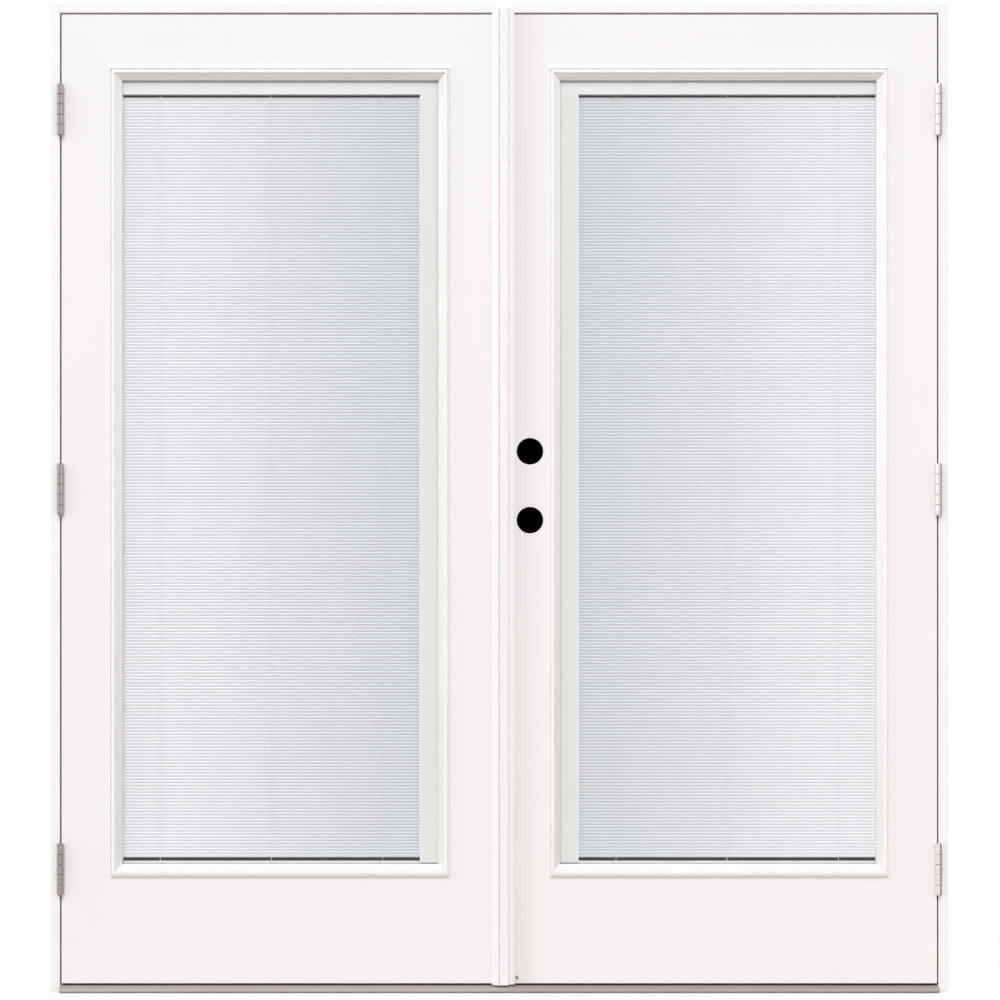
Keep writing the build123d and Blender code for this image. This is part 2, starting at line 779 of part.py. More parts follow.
jamb_knuckles = range(0, knuckle_count, 2)
leaf_knuckles = range(1, knuckle_count, 2)
for name, side in (("left", -1), ("right", 1)):
    lift_x, tilt_x = operator_ribs(side)
    write(jamb(side), f"{name}_jamb")
    write(hinge_halves(side, rabbet_x, jamb_knuckles), f"{name}_hinge_jamb_plates")
    write(hinge_halves(side, leaf_far - plate_thickness, leaf_knuckles), f"{name}_hinge_leaf_plates")
    write(skin(side, outdoor, core_front), f"{name}_outdoor_skin")
    write(skin(side, core_back, leaf_back), f"{name}_indoor_skin")
    write(hinge_stile(side), f"{name}_hinge_stile")
    write(lock_stile(side), f"{name}_lock_stile")
    write(leaf_rail(side, leaf_top - top_rail_height, leaf_top), f"{name}_top_rail")
    write(leaf_rail(side, leaf_bottom, leaf_bottom + bottom_rail_height), f"{name}_bottom_rail")
    write(foam_core(side), f"{name}_foam_core")
    write(lite_frame(side, outdoor, 1), f"{name}_outdoor_lite_frame")
    write(inner_lite_frame(side), f"{name}_indoor_lite_frame")
    write(pane(side, cavity_front - pane_thickness), f"{name}_outdoor_pane")
    write(pane(side, cavity_back), f"{name}_indoor_pane")
    write(spacer(side), f"{name}_glass_spacer")
    write(blind_head_rail(side), f"{name}_blind_head_rail")
    write(blind_side_rail(side), f"{name}_blind_side_rail")
    write(blind_slats(side), f"{name}_blind_slats")
    write(ladder_cords(side), f"{name}_ladder_cords")
    write(blind_bottom_rail(side), f"{name}_blind_bottom_rail")
    write(slider(lift_x, lift_grip, fit), f"{name}_lift_slider")
    write(slider(tilt_x, tilt_grip, fit), f"{name}_tilt_slider")
    write(door_sweep(side), f"{name}_door_sweep")

print("hinge pins at", pin_x, pin_y, "lock holes at", bore_x, leaf_mid, bore_heights)
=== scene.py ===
import json
import math

import bmesh
import bpy
from mathutils import Matrix, Vector

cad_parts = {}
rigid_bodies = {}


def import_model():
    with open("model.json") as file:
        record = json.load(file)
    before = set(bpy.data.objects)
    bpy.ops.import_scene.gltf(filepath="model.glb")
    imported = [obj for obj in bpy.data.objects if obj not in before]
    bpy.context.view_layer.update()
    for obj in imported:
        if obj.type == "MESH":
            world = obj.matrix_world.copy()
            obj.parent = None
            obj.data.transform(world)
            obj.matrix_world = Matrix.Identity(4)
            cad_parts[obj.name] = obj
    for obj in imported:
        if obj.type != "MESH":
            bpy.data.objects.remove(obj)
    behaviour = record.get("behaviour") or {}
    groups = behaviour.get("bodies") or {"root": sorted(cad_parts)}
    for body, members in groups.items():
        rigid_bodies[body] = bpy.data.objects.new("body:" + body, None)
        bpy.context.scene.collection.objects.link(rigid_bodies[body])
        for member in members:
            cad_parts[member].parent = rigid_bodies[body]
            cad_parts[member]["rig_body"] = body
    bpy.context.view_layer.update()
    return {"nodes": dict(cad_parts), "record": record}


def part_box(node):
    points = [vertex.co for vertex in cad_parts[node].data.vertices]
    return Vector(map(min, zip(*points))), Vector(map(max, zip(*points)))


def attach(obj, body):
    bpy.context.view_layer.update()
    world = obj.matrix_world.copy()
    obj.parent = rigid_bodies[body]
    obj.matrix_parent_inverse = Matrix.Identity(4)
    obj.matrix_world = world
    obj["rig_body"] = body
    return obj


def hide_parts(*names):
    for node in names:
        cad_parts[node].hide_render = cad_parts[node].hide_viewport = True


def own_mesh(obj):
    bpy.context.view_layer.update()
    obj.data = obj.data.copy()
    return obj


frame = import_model()
nodes = frame["nodes"]
sides = {"left": -1, "right": 1}
print("frame loaded,", len(nodes), "nodes")

# Camera and light

cameraSettings = {
    "place": (0.0015, -4.258, 0.999),
    "lens": 74.54,
    "sensor": 36.0,
}

lightSettings = {
    "distance": 5.0,  # where the lamps hang; suns light alike from anywhere
    "ambient": (0.945, 0.99, 1.04),
    "ambientStrength": 0.55,
    "suns": {
        "keySun": {"from": (-0.14, -0.72, 0.66), "spread": 30.0, "strength": 1.555,
                   "colour": (1.0, 0.985, 0.975)},
        "sideSun": {"from": (-0.93, -0.3, 0.2), "spread": 34.0, "strength": 0.6,
                    "colour": (1.0, 0.985, 0.98)},
        "fillSun": {"from": (0.9, -0.4, 0.1), "spread": 40.0, "strength": 0.45,
                    "colour": (1.0, 0.985, 0.98)},
        "backSun": {"from": (0.35, 0.75, 0.55), "spread": 40.0, "strength": 0.9,
                    "colour": (1.0, 0.985, 0.98)},
    },
}


def makeCamera(settings):
    data = bpy.data.cameras.new("photoCamera")
    data.sensor_width = settings["sensor"]
    data.lens = settings["lens"]
    camera = bpy.data.objects.new("photoCamera", data)
    camera.location = settings["place"]
    camera.rotation_euler = (math.pi / 2, 0, 0)
    bpy.context.scene.collection.objects.link(camera)
    bpy.context.scene.camera = camera


def makeSuns(settings):
    for name, sun in settings["suns"].items():
        data = bpy.data.lights.new(name, "SUN")
        data.angle = math.radians(sun["spread"])
        data.energy = sun["strength"]
        data.color = sun["colour"]
        lamp = bpy.data.objects.new(name, data)
        lamp.rotation_euler = Vector(sun["from"]).to_track_quat("Z", "Y").to_euler()
        lamp.location = Vector(sun["from"]) * settings["distance"]
        bpy.context.scene.collection.objects.link(lamp)


def seenRays(tree, kinds):
    # 1 for the rays named in kinds, 0 for the rest
    path = tree.nodes.new("ShaderNodeLightPath")
    total = path.outputs[kinds[0]]
    for kind in kinds[1:]:
        larger = tree.nodes.new("ShaderNodeMath")
        larger.operation = "MAXIMUM"
        tree.links.new(total, larger.inputs[0])
        tree.links.new(path.outputs[kind], larger.inputs[1])
        total = larger.outputs[0]
    return total


def makeWorld(settings):
    world = bpy.data.worlds.new("studioWorld")
    world.use_nodes = True
    tree = world.node_tree
    tree.nodes.clear()
    ambient = tree.nodes.new("ShaderNodeBackground")
    ambient.inputs["Color"].default_value = (*settings["ambient"], 1)
    ambient.inputs["Strength"].default_value = settings["ambientStrength"]
    white = tree.nodes.new("ShaderNodeBackground")
    white.inputs["Color"].default_value = (1, 1, 1, 1)
    mix = tree.nodes.new("ShaderNodeMixShader")
    out = tree.nodes.new("ShaderNodeOutputWorld")
    rays = seenRays(tree, ("Is Camera Ray", "Is Glossy Ray", "Is Transmission Ray"))
    tree.links.new(rays, mix.inputs[0])
    tree.links.new(ambient.outputs[0], mix.inputs[1])
    tree.links.new(white.outputs[0], mix.inputs[2])
    tree.links.new(mix.outputs[0], out.inputs[0])
    bpy.context.scene.world = world


bpy.context.scene.view_settings.view_transform = "Standard"
makeCamera(cameraSettings)
makeSuns(lightSettings)
makeWorld(lightSettings)
print("camera and light set")


# Effects that several finishes share

def addNode(tree, kind, values=None, **choices):
    node = tree.nodes.new(kind)
    for key, value in choices.items():
        setattr(node, key, value)
    for key, value in (values or {}).items():
        node.inputs[key].default_value = value
    return node


def newGroup(name, inputs, outputs):
    group = bpy.data.node_groups.new(name, "ShaderNodeTree")
    for socketName, kind, value in inputs:
        made = group.interface.new_socket(name=socketName, in_out="INPUT", socket_type="NodeSocket" + kind)
        made.default_value = value
    for socketName, kind in outputs:
        group.interface.new_socket(name=socketName, in_out="OUTPUT", socket_type="NodeSocket" + kind)
    return group, group.nodes.new("NodeGroupInput"), group.nodes.new("NodeGroupOutput")


surfaceInputs = [
    ("Main", "Color", (0.8, 0.8, 0.8, 1)),
    ("Shade", "Color", (0.7, 0.7, 0.7, 1)),
    ("Stretch", "Vector", (1, 1, 1)),
    ("Patch Scale", "Float", 6.0),
    ("Grain Scale", "Float", 900.0),
    ("Grain Depth", "Float", 0.1),
    ("Rough", "Float", 0.4),
    ("Rough Spread", "Float", 0.1),
]
surfaceOutputs = [("Color", "Color"), ("Roughness", "Float"), ("Normal", "Vector")]


def makeSurfaceGroup(name, grainKind):
    # Broad patches tint and dull the finish, and a fine grain gives it relief
    group, given, out = newGroup(name, surfaceInputs, surfaceOutputs)
    link = group.links.new
    place = addNode(group, "ShaderNodeTexCoord")
    stretch = addNode(group, "ShaderNodeVectorMath", operation="MULTIPLY")
    link(place.outputs["Object"], stretch.inputs[0])
    link(given.outputs["Stretch"], stretch.inputs[1])
    patch = addNode(group, "ShaderNodeTexNoise", {"Detail": 4.0, "Roughness": 0.55})
    link(stretch.outputs[0], patch.inputs["Vector"])
    link(given.outputs["Patch Scale"], patch.inputs["Scale"])
    spread = addNode(group, "ShaderNodeMapRange", {"From Min": 0.3, "From Max": 0.7})
    link(patch.outputs["Fac"], spread.inputs["Value"])
    tint = addNode(group, "ShaderNodeMix", data_type="RGBA")
    link(spread.outputs[0], tint.inputs[0])
    link(given.outputs["Main"], tint.inputs[6])
    link(given.outputs["Shade"], tint.inputs[7])
    link(tint.outputs[2], out.inputs["Color"])
    centre = addNode(group, "ShaderNodeMath", {1: 0.5}, operation="SUBTRACT")
    link(spread.outputs[0], centre.inputs[0])
    dull = addNode(group, "ShaderNodeMath", operation="MULTIPLY_ADD")
    link(centre.outputs[0], dull.inputs[0])
    link(given.outputs["Rough Spread"], dull.inputs[1])
    link(given.outputs["Rough"], dull.inputs[2])
    link(dull.outputs[0], out.inputs["Roughness"])
    if grainKind == "cells":
        grain = addNode(group, "ShaderNodeTexVoronoi")
        height = grain.outputs["Distance"]
    else:
        grain = addNode(group, "ShaderNodeTexNoise", {"Detail": 2.0})
        height = grain.outputs["Fac"]
    link(stretch.outputs[0], grain.inputs["Vector"])
    link(given.outputs["Grain Scale"], grain.inputs["Scale"])
    bump = addNode(group, "ShaderNodeBump", {"Distance": 0.0004})
    link(height, bump.inputs["Height"])
    link(given.outputs["Grain Depth"], bump.inputs["Strength"])
    link(bump.outputs["Normal"], out.inputs["Normal"])
    return group


def makeToneGroup():
    # Tints a colour from Low to High along an axis; Mirror 1 counts from the centre to both sides
    inputs = [("Colour", "Color", (1, 1, 1, 1)), ("Axis", "Vector", (1, 0, 0)), ("Centre", "Float", 0.0),
              ("Start", "Float", 0.0), ("End", "Float", 1.0), ("Mirror", "Float", 1.0),
              ("Low", "Color", (1, 1, 1, 1)), ("High", "Color", (1, 1, 1, 1))]
    group, given, out = newGroup("toneAlong", inputs, [("Colour", "Color")])
    link = group.links.new
    place = addNode(group, "ShaderNodeTexCoord")
    along = addNode(group, "ShaderNodeVectorMath", operation="DOT_PRODUCT")
    link(place.outputs["Object"], along.inputs[0])
    link(given.outputs["Axis"], along.inputs[1])
    fromCentre = addNode(group, "ShaderNodeMath", operation="SUBTRACT")
    link(along.outputs["Value"], fromCentre.inputs[0])
    link(given.outputs["Centre"], fromCentre.inputs[1])
    away = addNode(group, "ShaderNodeMath", operation="ABSOLUTE")
    link(fromCentre.outputs[0], away.inputs[0])
    choose = addNode(group, "ShaderNodeMix", data_type="FLOAT")
    link(given.outputs["Mirror"], choose.inputs[0])
    link(fromCentre.outputs[0], choose.inputs[2])
    link(away.outputs[0], choose.inputs[3])
    ramp = addNode(group, "ShaderNodeMapRange", interpolation_type="SMOOTHSTEP")
    link(choose.outputs[0], ramp.inputs["Value"])
    link(given.outputs["Start"], ramp.inputs["From Min"])
    link(given.outputs["End"], ramp.inputs["From Max"])
    tint = addNode(group, "ShaderNodeMix", data_type="RGBA")
    link(ramp.outputs[0], tint.inputs[0])
    link(given.outputs["Low"], tint.inputs[6])
    link(given.outputs["High"], tint.inputs[7])
    both = addNode(group, "ShaderNodeMix", {0: 1.0}, data_type="RGBA", blend_type="MULTIPLY")
    link(given.outputs["Colour"], both.inputs[6])
    link(tint.outputs[2], both.inputs[7])
    link(both.outputs[2], out.inputs["Colour"])
    return group


effects = {
    "paintFilm": makeSurfaceGroup("paintFilm", "noise"),
    "drawnLines": makeSurfaceGroup("drawnLines", "noise"),
    "foamCells": makeSurfaceGroup("foamCells", "cells"),
    "toneAlong": makeToneGroup(),
}
print("effects built")


# Finishes, one for each material slot. Colours are linear.

finishes = {
    "door_skin": {
        "effect": "paintFilm", "Main": (0.889, 0.877, 0.888), "Shade": (0.877, 0.866, 0.876),
        "Patch Scale": 2.2, "Grain Scale": 420.0, "Grain Depth": 0.05, "Rough": 0.42, "Rough Spread": 0.08,
        # Painted shadow of the meeting strip: the skin is darkened within 65 mm of a line 35 mm right of
        # the middle, most on the right leaf beside the strip
        "tones": [{"Centre": 0.035, "End": 0.065, "Low": (0.90, 0.885, 0.875), "High": (1, 1, 1)}],
    },
    "frame_composite": {
        "effect": "paintFilm", "Main": (0.905, 0.905, 0.905), "Shade": (0.885, 0.883, 0.885),
        "Patch Scale": 3.0, "Grain Scale": 500.0, "Grain Depth": 0.06, "Rough": 0.45, "Rough Spread": 0.08,
    },
    "lite_frame": {
        "effect": "paintFilm", "Main": (0.935, 0.936, 0.939), "Shade": (0.90, 0.895, 0.886),
        "Patch Scale": 4.0, "Grain Scale": 700.0, "Grain Depth": 0.05, "Rough": 0.36, "Rough Spread": 0.08,
    },
    "strip_vinyl": {
        "effect": "drawnLines", "Main": (0.90, 0.89, 0.895), "Shade": (0.885, 0.875, 0.88),
        "Stretch": (1.0, 1.0, 0.02), "Patch Scale": 90.0, "Grain Scale": 600.0, "Grain Depth": 0.05,
        "Rough": 0.35, "Rough Spread": 0.08,
    },
    "stile_composite": {
        "effect": "drawnLines", "Main": (0.31, 0.225, 0.17), "Shade": (0.25, 0.18, 0.135),
        "Stretch": (1.0, 1.0, 0.03), "Patch Scale": 120.0, "Grain Scale": 900.0, "Grain Depth": 0.3,
        "Rough": 0.62, "Rough Spread": 0.15,
    },
    "foam": {
        "effect": "foamCells", "Main": (0.86, 0.80, 0.60), "Shade": (0.80, 0.72, 0.50),
        "Patch Scale": 30.0, "Grain Scale": 700.0, "Grain Depth": 0.5, "Rough": 0.85, "Rough Spread": 0.1,
    },
    "spacer": {
        "effect": "paintFilm", "Main": (0.92, 0.91, 0.905), "Shade": (0.89, 0.88, 0.875),
        "Patch Scale": 40.0, "Grain Scale": 900.0, "Grain Depth": 0.2, "Rough": 0.6, "Rough Spread": 0.1,
        # Painted shade: the top of the spacer, above 1.845 m, is darkened to a warm grey
        "tones": [{"Axis": (0, 0, 1), "Start": 1.845, "End": 1.85, "Mirror": 0.0, "Low": (1, 1, 1),
                   "High": (0.98, 0.81, 0.80)}],
    },
    "blind_rail": {
        "effect": "drawnLines", "Main": (0.76, 0.775, 0.765), "Shade": (0.745, 0.76, 0.75),
        "Stretch": (1.0, 1.0, 0.05), "Patch Scale": 60.0, "Grain Scale": 800.0, "Grain Depth": 0.04,
        "Rough": 0.38, "Rough Spread": 0.06,
        "tones": [{"Axis": (0, 0, 1), "Start": 1.815, "End": 1.838, "Mirror": 0.0, "Low": (1.0, 1.0, 0.985),
                   "High": (1.03, 1.06, 1.13)}],
    },
    "blind_slat": {
        "effect": "drawnLines", "Main": (0.74, 0.765, 0.80), "Shade": (0.72, 0.745, 0.78),
        "Stretch": (0.05, 1.0, 1.0), "Patch Scale": 80.0, "Grain Scale": 800.0, "Grain Depth": 0.04,
        "Rough": 0.42, "Rough Spread": 0.06, "specular": 0.3,
        # Painted shade: the slats darken towards the middle of the doorway and lighten towards its outer
        # sides
        "tones": [{"Start": 0.12, "End": 0.80, "Low": (0.85, 0.865, 0.87), "High": (1.08, 1.06, 1.07)}],
    },
    "ladder_tape": {
        "effect": "foamCells", "Main": (0.78, 0.80, 0.82), "Shade": (0.70, 0.72, 0.75),
        "Patch Scale": 300.0, "Grain Scale": 1500.0, "Grain Depth": 0.5, "Rough": 0.8, "Rough Spread": 0.1,
    },
    "slider_plastic": {
        "effect": "paintFilm", "Main": (0.87, 0.87, 0.86), "Shade": (0.85, 0.85, 0.84),
        "Patch Scale": 40.0, "Grain Scale": 900.0, "Grain Depth": 0.08, "Rough": 0.34, "Rough Spread": 0.08,
    },
    "sweep_vinyl": {
        "effect": "drawnLines", "Main": (0.035, 0.033, 0.033), "Shade": (0.05, 0.047, 0.046),
        "Stretch": (0.03, 1.0, 1.0), "Patch Scale": 120.0, "Grain Scale": 800.0, "Grain Depth": 0.15,
        "Rough": 0.55, "Rough Spread": 0.12,
    },
    "hinge_metal": {
        "effect": "drawnLines", "Main": (0.56, 0.51, 0.513), "Shade": (0.48, 0.435, 0.44),
        "Stretch": (1.0, 1.0, 0.05), "Patch Scale": 400.0, "Grain Scale": 3000.0, "Grain Depth": 0.12,
        "Rough": 0.28, "Rough Spread": 0.08, "metallic": 0.5,
        # Painted light: the left hinges are darkened as painted shade and the right ones lightened as a
        # painted highlight; the second tone darkens the right side of the right-hand barrels as painted
        # shade
        "tones": [{"Start": -0.5, "End": 0.5, "Mirror": 0.0, "Low": (0.70, 0.64, 0.65),
                   "High": (1.55, 1.52, 1.52)},
                  {"Start": 0.8905, "End": 0.8925, "Mirror": 0.0, "Low": (1, 1, 1),
                   "High": (0.36, 0.32, 0.33)}],
    },
    "sill_aluminium": {
        "effect": "drawnLines", "Main": (0.66, 0.63, 0.60), "Shade": (0.58, 0.54, 0.52),
        "Stretch": (0.03, 1.0, 1.0), "Patch Scale": 160.0, "Grain Scale": 1200.0, "Grain Depth": 0.15,
        "Rough": 0.42, "Rough Spread": 0.12, "metallic": 0.6,
        # Tinted mauve-brown, and darker on the right half of the sill than on the left: that difference is
        # painted shade
        "tones": [{"Start": -0.02, "End": 0.03, "Mirror": 0.0, "Low": (0.86, 0.785, 0.81),
                   "High": (0.745, 0.665, 0.68)}],
    },
    # A grey composite, kept darker than its own grey as painted shade under the sill's nose
    "sill_composite": {
        "effect": "foamCells", "Main": (0.32, 0.295, 0.285), "Shade": (0.27, 0.25, 0.24),
        "Patch Scale": 50.0, "Grain Scale": 900.0, "Grain Depth": 0.2, "Rough": 0.7, "Rough Spread": 0.1,
    },
    # Near black with no gloss: the weatherstrips are black foam, and the depth of black, also on the strips
    # at the blinds and the discs in the lock holes, is painted shade in gaps and holes
    "seal_foam": {
        "effect": "foamCells", "Main": (0.0008, 0.0008, 0.0008), "Shade": (0.0016, 0.0015, 0.0015),
        "Patch Scale": 80.0, "Grain Scale": 1200.0, "Grain Depth": 0.3, "Rough": 0.9, "Rough Spread": 0.1,
        "specular": 0.0,
    },
}


def placeEffect(tree, settings):
    group = addNode(tree, "ShaderNodeGroup", node_tree=effects[settings["effect"]])
    for key, _, _ in surfaceInputs:
        if key not in settings:
            continue
        value = settings[key]
        group.inputs[key].default_value = (*value, 1) if key in ("Main", "Shade") else value
    return group


def tintAlong(tree, colour, tone):
    group = addNode(tree, "ShaderNodeGroup", node_tree=effects["toneAlong"])
    for key, value in tone.items():
        group.inputs[key].default_value = (*value, 1) if key in ("Low", "High") else value
    tree.links.new(colour, group.inputs["Colour"])
    return group.outputs["Colour"]


def makeFinish(name, settings):
    material = bpy.data.materials.new(name)
    material.use_nodes = True
    tree = material.node_tree
    shader = tree.nodes["Principled BSDF"]
    shader.inputs["Metallic"].default_value = settings.get("metallic", 0.0)
    shader.inputs["Specular IOR Level"].default_value = settings.get("specular", 0.5)
    group = placeEffect(tree, settings)
    colour = group.outputs["Color"]
    for tone in settings.get("tones", ()):
        colour = tintAlong(tree, colour, tone)
    tree.links.new(colour, shader.inputs["Base Color"])
    tree.links.new(group.outputs["Roughness"], shader.inputs["Roughness"])
    tree.links.new(group.outputs["Normal"], shader.inputs["Normal"])
    return material


glassSettings = {"tint": (0.996, 1.0, 0.998), "smear": (0.0, 0.03), "smearScale": 7.0, "ior": 1.45}


def makeGlass(settings):
    # Clear sheets with faint smears in their gloss; lamps and soft light pass straight through
    material = bpy.data.materials.new("glass")
    material.use_nodes = True
    tree = material.node_tree
    sheet = tree.nodes["Principled BSDF"]
    sheet.inputs["Base Color"].default_value = (*settings["tint"], 1)
    sheet.inputs["Transmission Weight"].default_value = 1.0
    sheet.inputs["IOR"].default_value = settings["ior"]
    place = addNode(tree, "ShaderNodeTexCoord")
    smear = addNode(tree, "ShaderNodeTexNoise", {"Scale": settings["smearScale"], "Detail": 1.0})
    tree.links.new(place.outputs["Object"], smear.inputs["Vector"])
    low, high = settings["smear"]
    rough = addNode(tree, "ShaderNodeMapRange", {"To Min": low, "To Max": high})
    tree.links.new(smear.outputs["Fac"], rough.inputs["Value"])
    tree.links.new(rough.outputs[0], sheet.inputs["Roughness"])
    clear = addNode(tree, "ShaderNodeBsdfTransparent", {"Color": (*settings["tint"], 1)})
    mix = addNode(tree, "ShaderNodeMixShader")
    tree.links.new(seenRays(tree, ("Is Shadow Ray", "Is Diffuse Ray")), mix.inputs[0])
    tree.links.new(sheet.outputs[0], mix.inputs[1])
    tree.links.new(clear.outputs[0], mix.inputs[2])
    tree.links.new(mix.outputs[0], tree.nodes["Material Output"].inputs["Surface"])
    return material


materials = {name: makeFinish(name, settings) for name, settings in finishes.items()}
materials["glass"] = makeGlass(glassSettings)
slotOf = {part["node"]: part["material_slot"] for part in frame["record"]["subparts"]}
for nodeName, nodeObject in nodes.items():
    nodeObject.data.materials.clear()
    nodeObject.data.materials.append(materials[slotOf[nodeName]])
print("finishes made,", len(materials))


# Mesh helpers

mergeReach = 1e-6  # points closer than this are one
creaseFrom = math.radians(28)  # sharper edges of the source are rounded
flatWithin = math.radians(1)  # the source's faces that lie this nearly in line are joined
easeSegments = 2
roundShare = 0.3  # how far the middle of a round lies in from its corner


def keepFlats(mesh):
    # Normals weighed by area, so that broad flats stay flat beside their rounded edges
    normals = [Vector() for _ in mesh.vertices]
    for face in mesh.polygons:
        for index in face.vertices:
            normals[index] += face.normal * face.area
    mesh.normals_split_custom_set_from_vertices([normal.normalized() for normal in normals])


def newPiece(bm, name, body, slot, replaced=(), crease=0.0):
    # A crease angle keeps sharper edges crisp; without one the edges are rounded already
    mesh = bpy.data.meshes.new(name)
    bm.to_mesh(mesh)
    bm.free()
    mesh.shade_smooth()
    if crease:
        mesh.set_sharp_from_angle(angle=math.radians(crease))
    else:
        keepFlats(mesh)
    mesh.materials.append(materials[slot])
    piece = bpy.data.objects.new(name, mesh)
    bpy.context.scene.collection.objects.link(piece)
    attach(piece, body)
    if replaced:
        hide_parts(*replaced)
    return piece


def addBlock(bm, low, high, ease):
    size = [high[i] - low[i] for i in range(3)]
    centre = [(high[i] + low[i]) / 2 for i in range(3)]
    spot = Matrix.Translation(centre) @ Matrix.Diagonal((*size, 1))
    made = bmesh.ops.create_cube(bm, size=1, matrix=spot)["verts"]
    edges = {edge for vert in made for edge in vert.link_edges}
    bmesh.ops.bevel(bm, geom=list(edges), offset=ease, segments=easeSegments, profile=0.5,
                    affect="EDGES", clamp_overlap=True, material=-1)


def spunMesh(profile, steps, closed=False):
    # A profile of (radius, height) points turned round Z, its poles merged and its normals outward
    bm = bmesh.new()
    points = profile + profile[:1] if closed else profile
    verts = [bm.verts.new((radius, 0, height)) for radius, height in points]
    edges = [bm.edges.new(pair) for pair in zip(verts, verts[1:])]
    bmesh.ops.spin(bm, geom=verts + edges, cent=(0, 0, 0), axis=(0, 0, 1), angle=2 * math.pi,
                   steps=steps, use_merge=True)
    bmesh.ops.remove_doubles(bm, verts=bm.verts, dist=mergeReach)
    bmesh.ops.recalc_face_normals(bm, faces=bm.faces)
    mesh = bpy.data.meshes.new("spun")
    bm.to_mesh(mesh)
    bm.free()
    return mesh


def roundedWall(radius, half, ease):
    # The outside of a short rod from foot to head, both its rims rounded
    soft = ease * roundShare
    return [(radius - ease, -half), (radius - soft, -half + soft), (radius, -half + ease),
            (radius, half - ease), (radius - soft, half - soft), (radius - ease, half)]


def addCopy(bm, mesh, spot):
    # Put a small mesh into a larger one, at a matrix
    mesh.transform(spot)
    bm.from_mesh(mesh)
    mesh.transform(spot.inverted())


def easedCopy(nodeName, ease):
    # The CAD piece again with its sharp edges rounded, which stands for it
    source = nodes[nodeName]
    bm = bmesh.new()
    bm.from_mesh(source.data)
    bmesh.ops.remove_doubles(bm, verts=bm.verts, dist=mergeReach)
    bmesh.ops.dissolve_limit(bm, angle_limit=flatWithin, verts=bm.verts, edges=bm.edges)
    sharp = [edge for edge in bm.edges if len(edge.link_faces) == 2
             and edge.calc_face_angle(0) > creaseFrom]
    bmesh.ops.bevel(bm, geom=sharp, offset=ease, segments=easeSegments, profile=0.5,
                    affect="EDGES", clamp_overlap=True, material=-1)
    newPiece(bm, nodeName + "_eased", source["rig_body"], slotOf[nodeName], (nodeName,))


# Pieces whose CAD form stands, with the small rounds that a cutter, mould or brake leaves

easedNodes = {
    "outdoor_skin": 0.0007, "indoor_skin": 0.0007,
    "indoor_lite_frame": 0.0004,
    "jamb": 0.0006, "meeting_strip": 0.0004,
    "lift_slider": 0.0005, "tilt_slider": 0.0005, "blind_bottom_rail": 0.0003,
}
easedSingles = {"head_jamb": 0.0006, "sill_deck": 0.0003, "sill_base": 0.0005, "lock_strikes": 0.0003,
                "head_strike": 0.0003, "top_flush_bolt": 0.0004, "bottom_flush_bolt": 0.0004}
for sideName in sides:
    for partName, ease in easedNodes.items():
        easedCopy(f"{sideName}_{partName}", ease)
for nodeName, ease in easedSingles.items():
    easedCopy(nodeName, ease)
print("edges eased")


# Moulded rims of the outdoor lite frames: bead, quirk, flat band, step, coved slope and lip

rim = {
    "front": [(0.0, 0.0008), (0.0002, 0.0003), (0.0006, 0.0), (0.0010, 0.0001), (0.0012, 0.0005),
              (0.0014, 0.0034), (0.0029, 0.0034), (0.0031, 0.0006), (0.0034, 0.0001), (0.0038, 0.0),
              (0.0088, 0.0), (0.0092, 0.0001), (0.0095, 0.0005), (0.0097, 0.0040), (0.0112, 0.0041),
              (0.0115, 0.0030)],
    "stand": 0.008,  # of the band in front of the skin
    "stepInset": 0.0152,
    "stepRise": 0.0005,
    # inset and height over the glass
    "lip": [(0.0209, 0.0028), (0.0216, 0.0025), (0.022, 0.002), (0.022, 0.0)],
    "tenon": (0.0103, 0.0127),
    "mitreWidth": 0.0006,
    "mitreDepth": 0.0009,
    "mitreStart": 1e-5,  # inset where the V begins
    "mitreStop": 0.001,  # height over the glass where it ends
    "core": 0.3,  # half width of the ring before it is drawn out to size
}


def rimSection(settings, front, glass, back):
    # The closed outline as (inset, depth), from the skin over the front to the glass and the tenon
    face = front + settings["stand"]
    near, far = settings["tenon"]
    points = [(0.0, face)] + [(inset, front + drop) for inset, drop in settings["front"]]
    startInset, start = points[-1]
    endInset, end = settings["lip"][0][0], glass - settings["lip"][0][1]
    share = (settings["stepInset"] - startInset) / (endInset - startInset)
    step = start + (end - start) * share
    for rise in (-settings["stepRise"], settings["stepRise"]):
        points.append((settings["stepInset"], step + rise))
    points += [(inset, glass - height) for inset, height in settings["lip"]]
    return points + [(far, glass), (far, back), (near, back), (near, face)]


def cutMitres(bm, settings, corners, glass):
    # A fine V along each mitre, on the side that shows
    for corner in corners:
        way = Vector((math.copysign(1, corner.x), 0, -math.copysign(1, corner.z))).normalized()
        onMitre = [vert for vert in bm.verts if vert.co.x * corner.x > 0 and vert.co.z * corner.z > 0
                   and abs((vert.co - corner).dot(way)) < mergeReach]
        for offset in (-settings["mitreWidth"], settings["mitreWidth"]):
            around = {face for vert in onMitre for face in vert.link_faces}
            parts = list(around) + list({edge for face in around for edge in face.edges}) \
                + list({vert for face in around for vert in face.verts})
            bmesh.ops.bisect_plane(bm, geom=parts, plane_co=corner + way * offset, plane_no=way)
        for vert in onMitre:
            inset = abs(corner.x) - abs(vert.co.x)
            if inset > settings["mitreStart"] and vert.co.y < glass - settings["mitreStop"]:
                vert.co.y += settings["mitreDepth"]


